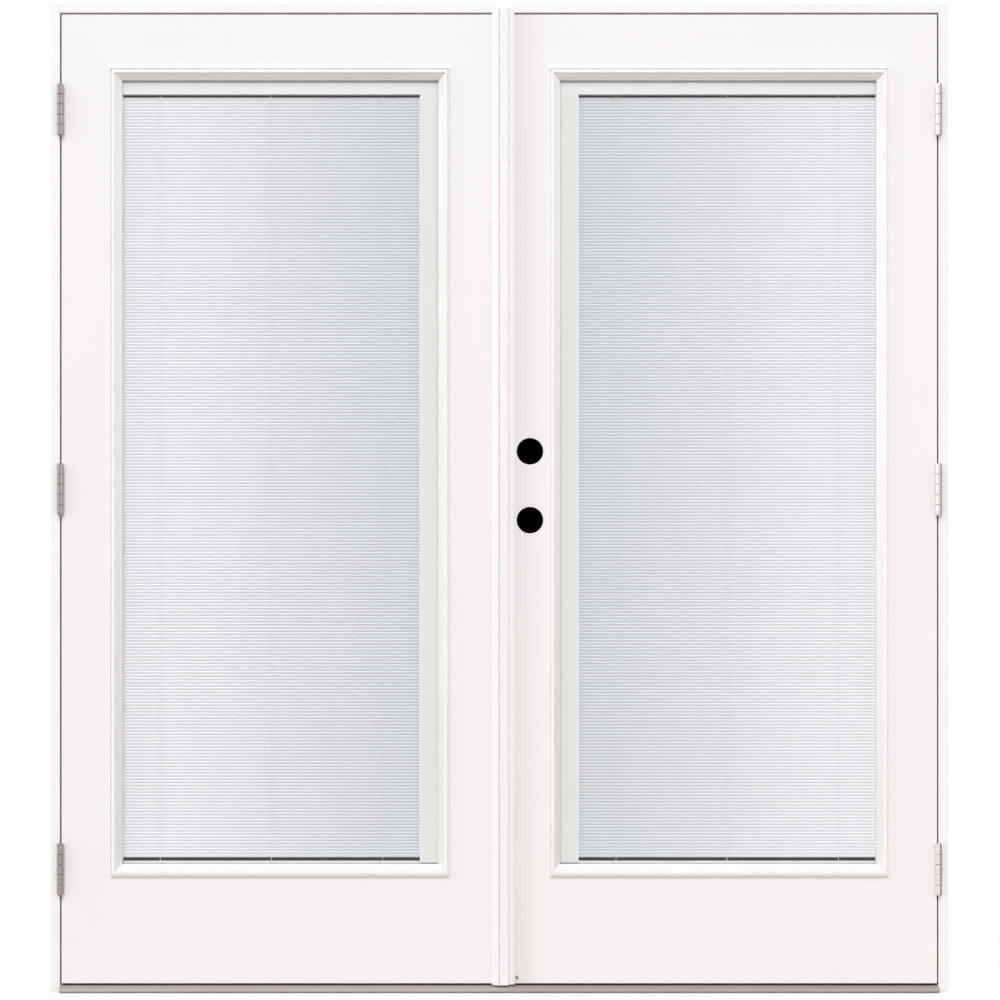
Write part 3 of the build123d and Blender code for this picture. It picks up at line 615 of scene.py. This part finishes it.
def makeRim(sideName, settings):
    low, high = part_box(f"{sideName}_outdoor_lite_frame")
    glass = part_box(f"{sideName}_outdoor_pane")[0].y
    core = settings["core"]
    bm = bmesh.new()
    verts = [bm.verts.new((core - inset, depth, core - inset))
             for inset, depth in rimSection(settings, low.y, glass, high.y)]
    edges = [bm.edges.new((verts[i - 1], verts[i])) for i in range(len(verts))]
    bmesh.ops.spin(bm, geom=verts + edges, cent=(0, 0, 0), axis=(0, 1, 0), angle=2 * math.pi,
                   steps=4, use_merge=True)
    bmesh.ops.remove_doubles(bm, verts=bm.verts, dist=mergeReach)
    half = (high - low) / 2
    for vert in bm.verts:
        vert.co.x += math.copysign(half.x - core, vert.co.x)
        vert.co.z += math.copysign(half.z - core, vert.co.z)
    corners = [Vector((x * half.x, 0, z * half.z)) for x in (-1, 1) for z in (-1, 1)]
    cutMitres(bm, settings, corners, glass)
    bmesh.ops.translate(bm, verts=bm.verts, vec=((low.x + high.x) / 2, 0, (low.z + high.z) / 2))
    bmesh.ops.recalc_face_normals(bm, faces=bm.faces)
    newPiece(bm, f"{sideName}OutdoorRim", f"{sideName}_leaf", "lite_frame",
             (f"{sideName}_outdoor_lite_frame",), crease=30.0)


for sideName in sides:
    makeRim(sideName, rim)
print("outdoor rims moulded")


# Blinds

blind = {
    "slatWidth": 0.008,
    "slatCrown": 0.0024,
    "slatThickness": 0.00025,
    "slatSegments": 6,
    "thickness": 0.0004,  # of the flat slats in the source
    "tilt": math.radians(74),
    "pitch": 0.00656,
    "ladderSpacing": 0.2265,
    "ladderRadius": 0.0004,
    "rungRadius": 0.00022,
    "travel": 1.43,
}


def slatSection(settings):
    # Upper and lower line of one crowned slat, across its width
    count = settings["slatSegments"]
    half = settings["slatWidth"] / 2
    top, bottom = [], []
    for i in range(count + 1):
        u = -half + settings["slatWidth"] * i / count
        rise = settings["slatCrown"] * (0.5 - (u / half) ** 2)
        top.append((u, rise))
        bottom.append((u, rise - settings["slatThickness"]))
    return top + bottom[::-1]


def makeSlats(sideName, settings):
    low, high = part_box(f"{sideName}_blind_slats")
    middle = (low + high) / 2
    turn = Matrix.Rotation(settings["tilt"], 4, "X")
    reach = settings["slatWidth"] * math.sin(settings["tilt"]) / 2
    reach += settings["thickness"] * math.cos(settings["tilt"]) / 2
    first = high.z - reach
    count = round((high.z - low.z - 2 * reach) / settings["pitch"]) + 1
    bm = bmesh.new()
    verts = [bm.verts.new((low.x, u, v)) for u, v in slatSection(settings)]
    face = bm.faces.new(verts)
    grown = bmesh.ops.extrude_face_region(bm, geom=[face])["geom"]
    far = [part for part in grown if isinstance(part, bmesh.types.BMVert)]
    bmesh.ops.translate(bm, verts=far, vec=(high.x - low.x, 0, 0))
    bmesh.ops.recalc_face_normals(bm, faces=bm.faces)
    bmesh.ops.transform(bm, matrix=Matrix.Translation((0, middle.y, first)) @ turn, verts=bm.verts)
    slat = list(bm.verts) + list(bm.edges) + list(bm.faces)
    for i in range(1, count):
        more = bmesh.ops.duplicate(bm, geom=slat)["geom"]
        moved = [part for part in more if isinstance(part, bmesh.types.BMVert)]
        bmesh.ops.translate(bm, verts=moved, vec=(0, 0, -i * settings["pitch"]))
    piece = newPiece(bm, f"{sideName}SlatBlades", f"{sideName}_leaf", "blind_slat",
                     (f"{sideName}_blind_slats",), crease=35.0)
    return piece, first, count


def addBar(bm, start, end, radius, segments=6):
    # A thin round bar between two points
    way = Vector(end) - Vector(start)
    turn = way.to_track_quat("Z", "Y").to_matrix().to_4x4()
    spot = Matrix.Translation((Vector(start) + Vector(end)) / 2) @ turn
    bmesh.ops.create_cone(bm, cap_ends=True, segments=segments, radius1=radius, radius2=radius,
                          depth=way.length, matrix=spot)


def makeLadders(sideName, first, count, settings):
    low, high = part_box(f"{sideName}_ladder_cords")
    middle = (low + high) / 2
    radius = settings["ladderRadius"]
    front, back = low.y + radius, high.y - radius
    drop = math.tan(settings["tilt"]) * (back - middle.y)
    under = settings["slatCrown"] + settings["rungRadius"]
    bm = bmesh.new()
    for shift in (-settings["ladderSpacing"], 0, settings["ladderSpacing"]):
        x = middle.x + shift
        for y in (front, back):
            addBar(bm, (x, y, low.z), (x, y, high.z), radius)
        for i in range(count):
            z = first - i * settings["pitch"] - under
            addBar(bm, (x, front, z - drop), (x, back, z + drop), settings["rungRadius"], 4)
    return newPiece(bm, f"{sideName}LadderStrings", f"{sideName}_leaf", "ladder_tape",
                    (f"{sideName}_ladder_cords",), crease=60.0)


for sideName in sides:
    slats, firstSlat, slatCount = makeSlats(sideName, blind)
    ladders = makeLadders(sideName, firstSlat, slatCount, blind)
    for piece in (slats, ladders):
        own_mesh(piece)
    print(sideName, "blind built,", slatCount, "slats")


# Black strips at the head and foot of each blind, painted shade in the gaps there, and a tape over the head
# rail

shadeStripsAndTape = {
    "shadeStripFront": 0.0031,  # behind the middle of the blind
    "shadeStripBack": 0.0048,
    "stripEase": 0.0004,
    "tapeDepth": 0.006,
    "tapeShort": 0.0069,  # of the spacer's top
}


def makeShadeStripsAndTape(sideName, settings):
    slatLow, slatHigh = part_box(f"{sideName}_blind_slats")
    railLow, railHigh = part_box(f"{sideName}_blind_head_rail")
    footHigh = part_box(f"{sideName}_blind_bottom_rail")[1]
    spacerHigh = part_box(f"{sideName}_glass_spacer")[1]
    middle = (slatLow.y + slatHigh.y) / 2
    front, back = middle + settings["shadeStripFront"], middle + settings["shadeStripBack"]
    bm = bmesh.new()
    # The two black strips are painted shade in the gaps above and below the slats
    addBlock(bm, (slatLow.x, front, slatHigh.z), (slatHigh.x, back, railLow.z), settings["stripEase"])
    newPiece(bm, f"{sideName}HeadShadeStrip", f"{sideName}_leaf", "seal_foam")
    bm = bmesh.new()
    addBlock(bm, (slatLow.x, front, footHigh.z), (slatHigh.x, back, slatLow.z), settings["stripEase"])
    newPiece(bm, f"{sideName}FootShadeStrip", f"{sideName}_blind_rail", "seal_foam")
    bm = bmesh.new()
    tape = settings["tapeDepth"] / 2
    top = spacerHigh.z - settings["tapeShort"]
    addBlock(bm, (railLow.x, middle - tape, railHigh.z), (railHigh.x, middle + tape, top),
             settings["stripEase"])
    newPiece(bm, f"{sideName}RailTape", f"{sideName}_leaf", "spacer")


for sideName in sides:
    makeShadeStripsAndTape(sideName, shadeStripsAndTape)
print("blind closers built")


# Hinges

hinge = {
    "height": 0.102,
    "places": (0.251, 1.0205, 1.790),
    "pin": (0.8895, -0.0648),
    "barrelRadius": 0.0065,
    "boreRadius": 0.0031,
    "knuckles": 5,
    "gap": 0.0008,
    "ease": 0.0008,
    "barrelSteps": 40,
    "pinSteps": 32,
    "play": 0.0001,  # between the knuckles' arms and round the pin
    "armEase": 0.0002,
    "plateEase": 0.0003,
    "plateThickness": 0.0025,
    "plateReach": 0.038,
    "plateFace": -0.058,
    "jambPlate": 0.891,
    "leafPlate": 0.8855,
    "tipRadius": 0.005,
    "tipHeight": 0.002,
    "tipRound": 0.4,  # share of the tip's height that its dome takes
    "tipShoulder": 0.7,  # share of the tip's radius where the dome breaks
    "screwHeights": (-0.038, -0.013, 0.013, 0.038),
    "screwDepths": (0.013, 0.027),
}
screw = {
    "headRadius": 0.0042,
    "crown": 0.0004,
    "crownShare": 0.82,  # of the head's radius
    "slotLength": 0.0026,
    "slotWidth": 0.0007,
    "slotDepth": 0.0012,
    "slotTaper": 0.6,
    "segments": 24,
    "turn": (0.7, 1.3),  # of the first cross, and from each to the next
}


def screwMesh(settings):
    # A low crowned head with a cross recess, its axis on Z and its seat at height 0
    bm = bmesh.new()
    segments, radius = settings["segments"], settings["headRadius"]
    seat = bmesh.ops.create_circle(bm, segments=segments, radius=radius)["verts"]
    crown = bmesh.ops.create_circle(bm, segments=segments, radius=radius * settings["crownShare"])["verts"]
    bmesh.ops.translate(bm, verts=crown, vec=(0, 0, settings["crown"]))
    long, wide = settings["slotLength"], settings["slotWidth"]
    corners = [(long, wide), (wide, wide), (wide, long)]
    cross = []
    for quarter in range(4):
        turn = Matrix.Rotation(quarter * math.pi / 2, 3, "Z")
        for x, y in corners:
            cross.append(bm.verts.new(turn @ Vector((x, y, settings["crown"]))))
    crossEdges = [bm.edges.new((cross[i], cross[(i + 1) % len(cross)])) for i in range(len(cross))]
    seatEdges = list({edge for vert in seat for edge in vert.link_edges})
    crownEdges = list({edge for vert in crown for edge in vert.link_edges})
    bmesh.ops.bridge_loops(bm, edges=seatEdges + crownEdges)
    bmesh.ops.bridge_loops(bm, edges=crownEdges + crossEdges)
    floor = bm.faces.new(cross)
    sunk = bmesh.ops.extrude_face_region(bm, geom=[floor])["geom"]
    bmesh.ops.delete(bm, geom=[floor], context="FACES_ONLY")
    deep = [part for part in sunk if isinstance(part, bmesh.types.BMVert)]
    bmesh.ops.scale(bm, vec=(settings["slotTaper"], settings["slotTaper"], 1), verts=deep)
    bmesh.ops.translate(bm, verts=deep, vec=(0, 0, -settings["slotDepth"]))
    bmesh.ops.holes_fill(bm, edges=seatEdges, sides=0)
    bmesh.ops.recalc_face_normals(bm, faces=bm.faces)
    mesh = bpy.data.meshes.new("screw")
    bm.to_mesh(mesh)
    bm.free()
    return mesh


def knuckleMesh(settings, length):
    inner, half = settings["boreRadius"], length / 2
    wall = roundedWall(settings["barrelRadius"], half, settings["ease"])
    return spunMesh([(inner, -half)] + wall + [(inner, half)], settings["barrelSteps"], closed=True)


def makeHingeHalf(sideName, plateStart, turnsWith, mine, body, replaced, screwSide):
    side = sides[sideName]
    length = (hinge["height"] - (hinge["knuckles"] - 1) * hinge["gap"]) / hinge["knuckles"]
    knuckle = knuckleMesh(hinge, length)
    head = screwMesh(screw)
    pinX, pinY = side * hinge["pin"][0], hinge["pin"][1]
    xs = sorted((side * plateStart, side * (plateStart + hinge["plateThickness"])))
    outward = screwSide * side
    seenFace = xs[1] if outward > 0 else xs[0]
    face = hinge["plateFace"]
    half = hinge["height"] / 2
    armHalf = length / 2 - hinge["play"]
    firstTurn, nextTurn = screw["turn"]
    bm = bmesh.new()
    for place in hinge["places"]:
        addBlock(bm, (xs[0], face, place - half), (xs[1], face + hinge["plateReach"], place + half),
                 hinge["plateEase"])
        for i in mine:
            middle = place - half + length / 2 + i * (length + hinge["gap"])
            addCopy(bm, knuckle, Matrix.Translation((pinX, pinY, middle)))
            addBlock(bm, (xs[0], pinY + hinge["boreRadius"], middle - armHalf),
                     (xs[1], face + hinge["plateThickness"], middle + armHalf), hinge["armEase"])
        for i, lift in enumerate(hinge["screwHeights"]):
            depth = hinge["screwDepths"][i % 2]
            turn = Matrix.Rotation(math.pi / 2 * outward, 4, "Y")
            spin = Matrix.Rotation(firstTurn + nextTurn * i, 4, "Z")
            addCopy(bm, head, Matrix.Translation((seenFace, face + depth, place + lift)) @ turn @ spin)
    newPiece(bm, f"{sideName}{turnsWith}HingePlates", body, "hinge_metal", replaced)


def makePins():
    tipEase = hinge["tipHeight"] * hinge["tipRound"]
    tip, half = hinge["tipRadius"], hinge["height"] / 2
    end = half + hinge["tipHeight"]
    radius, shoulder = hinge["boreRadius"] - hinge["play"], tip * hinge["tipShoulder"]
    soft = tipEase * roundShare
    profile = [(0, -end), (shoulder, -end + soft), (tip, -end + tipEase), (tip, -half),
               (radius, -half), (radius, half),
               (tip, half), (tip, end - tipEase), (shoulder, end - soft), (0, end)]
    pin = spunMesh(profile, hinge["pinSteps"])
    bm = bmesh.new()
    for side in sides.values():
        for place in hinge["places"]:
            addCopy(bm, pin, Matrix.Translation((side * hinge["pin"][0], hinge["pin"][1], place)))
    newPiece(bm, "hingePins", "frame", "hinge_metal", ("hinge_pins",))


for sideName in sides:
    makeHingeHalf(sideName, hinge["jambPlate"], "Jamb", (0, 2, 4), "frame",
                  (f"{sideName}_hinge_jamb_plates",), -1)
    makeHingeHalf(sideName, hinge["leafPlate"], "Leaf", (1, 3), f"{sideName}_leaf",
                  (f"{sideName}_hinge_leaf_plates",), 1)
makePins()
print("hinges built")


# Small screws, and the plugs over the screws of the indoor lite frames

lockHeights = (0.958, 1.0977)
smallScrews = {
    "size": 0.78,  # against the hinge screws
    "strikeReach": 0.0225,
    "strikeTurns": (0.5, 1.0, 0.4),  # of the first cross, per strike, and to each side
    "headReach": 0.022,
    "headTurn": 0.9,
}
litePlugs = {
    "radius": 0.0027,
    "height": 0.0004,
    "inset": 0.0036,
    "dome": (0.7, 0.93),  # shares of the radius where the top ends and the side begins
    "side": 0.7,  # share of the height where the side begins
    "upright": 7,
    "level": 3,
    "corner": 0.06,
    "steps": 24,
}


def makeStrikeScrews(settings):
    head = screwMesh(screw)
    size = Matrix.Scale(settings["size"], 4)
    low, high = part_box("lock_strikes")
    bm = bmesh.new()
    firstTurn, strikeTurn, sideTurn = settings["strikeTurns"]
    for i, height in enumerate(lockHeights):
        for way in (-1, 1):
            z = height + way * settings["strikeReach"]
            place = Matrix.Translation((high.x, (low.y + high.y) / 2, z))
            turn = Matrix.Rotation(math.pi / 2, 4, "Y")
            spin = Matrix.Rotation(firstTurn + strikeTurn * i + sideTurn * way, 4, "Z")
            addCopy(bm, head, place @ turn @ spin @ size)
    newPiece(bm, "strikeScrews", "left_leaf", "hinge_metal")
    low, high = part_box("head_strike")
    bm = bmesh.new()
    x, y = (low.x + high.x) / 2, (low.y + high.y) / 2
    for way in (-1, 1):
        place = Matrix.Translation((x + way * settings["headReach"], y, low.z))
        turn = Matrix.Rotation(math.pi, 4, "X") @ Matrix.Rotation(settings["headTurn"] * way, 4, "Z")
        addCopy(bm, head, place @ turn @ size)
    newPiece(bm, "headStrikeScrews", "frame", "hinge_metal")


def evenly(low, high, count):
    return [low + (high - low) * i / (count - 1) for i in range(count)]


def makeLitePlugs(sideName, settings):
    low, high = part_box(f"{sideName}_outdoor_lite_frame")
    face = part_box(f"{sideName}_indoor_skin")[1].y + (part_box(f"{sideName}_outdoor_skin")[0].y - low.y)
    radius, height = settings["radius"], settings["height"]
    flat, edge = settings["dome"]
    profile = [(0, height), (radius * flat, height), (radius * edge, height * settings["side"]),
               (radius, 0), (radius, -height), (0, -height)]
    plug = spunMesh(profile, settings["steps"])
    inset, corner = settings["inset"], settings["corner"]
    places = []
    for z in evenly(low.z + corner, high.z - corner, settings["upright"]):
        places += [(low.x + inset, z), (high.x - inset, z)]
    for x in evenly(low.x + corner, high.x - corner, settings["level"]):
        places += [(x, low.z + inset), (x, high.z - inset)]
    bm = bmesh.new()
    for x, z in places:
        addCopy(bm, plug, Matrix.Translation((x, face, z)) @ Matrix.Rotation(-math.pi / 2, 4, "X"))
    newPiece(bm, f"{sideName}LitePlugs", f"{sideName}_leaf", "lite_frame")


makeStrikeScrews(smallScrews)
for sideName in sides:
    makeLitePlugs(sideName, litePlugs)
print("small screws and plugs built")


# Black discs set deep in the two lock holes, painted shade that makes the open holes read black

holeShadeDisc = {
    "place": (0.0623, -0.03575),
    "radius": 0.0268,
    "half": 0.012,  # half its thickness
    "ease": 0.002,
    "steps": 64,
}


def makeHoleShadeDiscs(settings):
    half = settings["half"]
    wall = roundedWall(settings["radius"], half, settings["ease"])
    plug = spunMesh([(0, -half)] + wall + [(0, half)], settings["steps"])
    bm = bmesh.new()
    for height in lockHeights:
        x, y = settings["place"]
        addCopy(bm, plug, Matrix.Translation((x, y, height)) @ Matrix.Rotation(math.pi / 2, 4, "X"))
    newPiece(bm, "lockHoleShadeDiscs", "right_leaf", "seal_foam")


makeHoleShadeDiscs(holeShadeDisc)
print("hole plugs built")


# A bulb seal behind the strip, on the left leaf's meeting edge

meetingSeal = {
    "base": (-0.002, -0.0014),  # from the leaf's edge into the gap
    "bulb": (-0.0016, 0.001),
    "depth": (-0.0574, -0.0528),
    "wall": 0.0004,
    "baseEase": 0.0002,
    "segments": 20,
    "short": 0.002,  # at each end of the leaf
}


def makeMeetingSeal(settings):
    low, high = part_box("left_lock_stile")
    foot, top = low.z + settings["short"], high.z - settings["short"]
    front, back = settings["depth"]
    near, far = settings["bulb"]
    bm = bmesh.new()
    addBlock(bm, (settings["base"][0], front, foot), (settings["base"][1], back, top), settings["baseEase"])
    loops = []
    for wall in (0.0, settings["wall"]):
        size = Matrix.Diagonal(((far - near) / 2 - wall, (back - front) / 2 - wall, 1, 1))
        centre = Matrix.Translation(((near + far) / 2, (front + back) / 2, foot))
        loop = bmesh.ops.create_circle(bm, segments=settings["segments"], radius=1,
                                       matrix=centre @ size)["verts"]
        loops.append(list({edge for vert in loop for edge in vert.link_edges}))
    ends = bmesh.ops.bridge_loops(bm, edges=loops[0] + loops[1])["faces"]
    grown = bmesh.ops.extrude_face_region(bm, geom=ends)["geom"]
    raised = [part for part in grown if isinstance(part, bmesh.types.BMVert)]
    bmesh.ops.translate(bm, verts=raised, vec=(0, 0, top - foot))
    bmesh.ops.recalc_face_normals(bm, faces=bm.faces)
    newPiece(bm, "meetingSeal", "left_leaf", "strip_vinyl", crease=40.0)


makeMeetingSeal(meetingSeal)
print("meeting seal built")


# The curled end of the seal that shows beside the strip's foot

sealCurl = {
    "place": (0.0346, 0.0305),
    "radius": 0.0032,
    "thickness": 0.001,
    "stand": 0.003,
    "start": 225,  # degrees round the curl
    "sweep": 235,
    "steps": 16,
}


def makeSealCurl(settings):
    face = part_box("right_outdoor_skin")[0].y
    inner, outer = settings["radius"] - settings["thickness"], settings["radius"]
    bm = bmesh.new()
    front = face - settings["stand"]
    corners = [(inner, face), (outer, face), (outer, front), (inner, front)]
    verts = [bm.verts.new((x, y, 0)) for x, y in corners]
    edges = [bm.edges.new((verts[i - 1], verts[i])) for i in range(len(verts))]
    turn = Matrix.Rotation(math.radians(settings["start"]), 3, "Y")
    bmesh.ops.rotate(bm, verts=verts, cent=(0, 0, 0), matrix=turn)
    bmesh.ops.spin(bm, geom=verts + edges, cent=(0, 0, 0), axis=(0, 1, 0),
                   angle=math.radians(settings["sweep"]), steps=settings["steps"])
    bmesh.ops.holes_fill(bm, edges=bm.edges, sides=4)
    bmesh.ops.recalc_face_normals(bm, faces=bm.faces)
    x, z = settings["place"]
    bmesh.ops.translate(bm, verts=bm.verts, vec=(x, 0, z))
    newPiece(bm, "sealCurl", "right_leaf", "sweep_vinyl", crease=40.0)


makeSealCurl(sealCurl)
print("seal end curled")


# Floor

floorSettings = {
    "size": 14.0,
    "colour": (0.65, 0.553, 0.495),
    "shine": 0.9,
    "fadeStart": 0.5,
    "fadeEnd": 1.6,
}


def makeFloor(settings):
    bm = bmesh.new()
    bmesh.ops.create_grid(bm, x_segments=4, y_segments=4, size=settings["size"] / 2)
    mesh = bpy.data.meshes.new("floor")
    bm.to_mesh(mesh)
    bm.free()
    floor = bpy.data.objects.new("floor", mesh)
    bpy.context.scene.collection.objects.link(floor)
    material = bpy.data.materials.new("floorPaint")
    material.use_nodes = True
    tree = material.node_tree
    tree.nodes.clear()
    link = tree.links.new
    paint = addNode(tree, "ShaderNodeBsdfDiffuse", {"Color": (*settings["colour"], 1)})
    glow = addNode(tree, "ShaderNodeEmission", {"Color": (1, 1, 1, 1), "Strength": 1.0})
    place = addNode(tree, "ShaderNodeTexCoord")
    reach = addNode(tree, "ShaderNodeVectorMath", operation="LENGTH")
    link(place.outputs["Object"], reach.inputs[0])
    fade = addNode(tree, "ShaderNodeMapRange", {
        "From Min": settings["fadeStart"], "From Max": settings["fadeEnd"],
        "To Min": settings["shine"], "To Max": 1.0})
    link(reach.outputs["Value"], fade.inputs["Value"])
    seen = seenRays(tree, ("Is Camera Ray", "Is Glossy Ray", "Is Transmission Ray"))
    share = addNode(tree, "ShaderNodeMath", operation="MULTIPLY")
    link(fade.outputs[0], share.inputs[0])
    link(seen, share.inputs[1])
    mix = addNode(tree, "ShaderNodeMixShader")
    link(share.outputs[0], mix.inputs[0])
    link(paint.outputs[0], mix.inputs[1])
    link(glow.outputs[0], mix.inputs[2])
    out = addNode(tree, "ShaderNodeOutputMaterial")
    link(mix.outputs[0], out.inputs["Surface"])
    mesh.materials.append(material)


makeFloor(floorSettings)
print("floor laid")
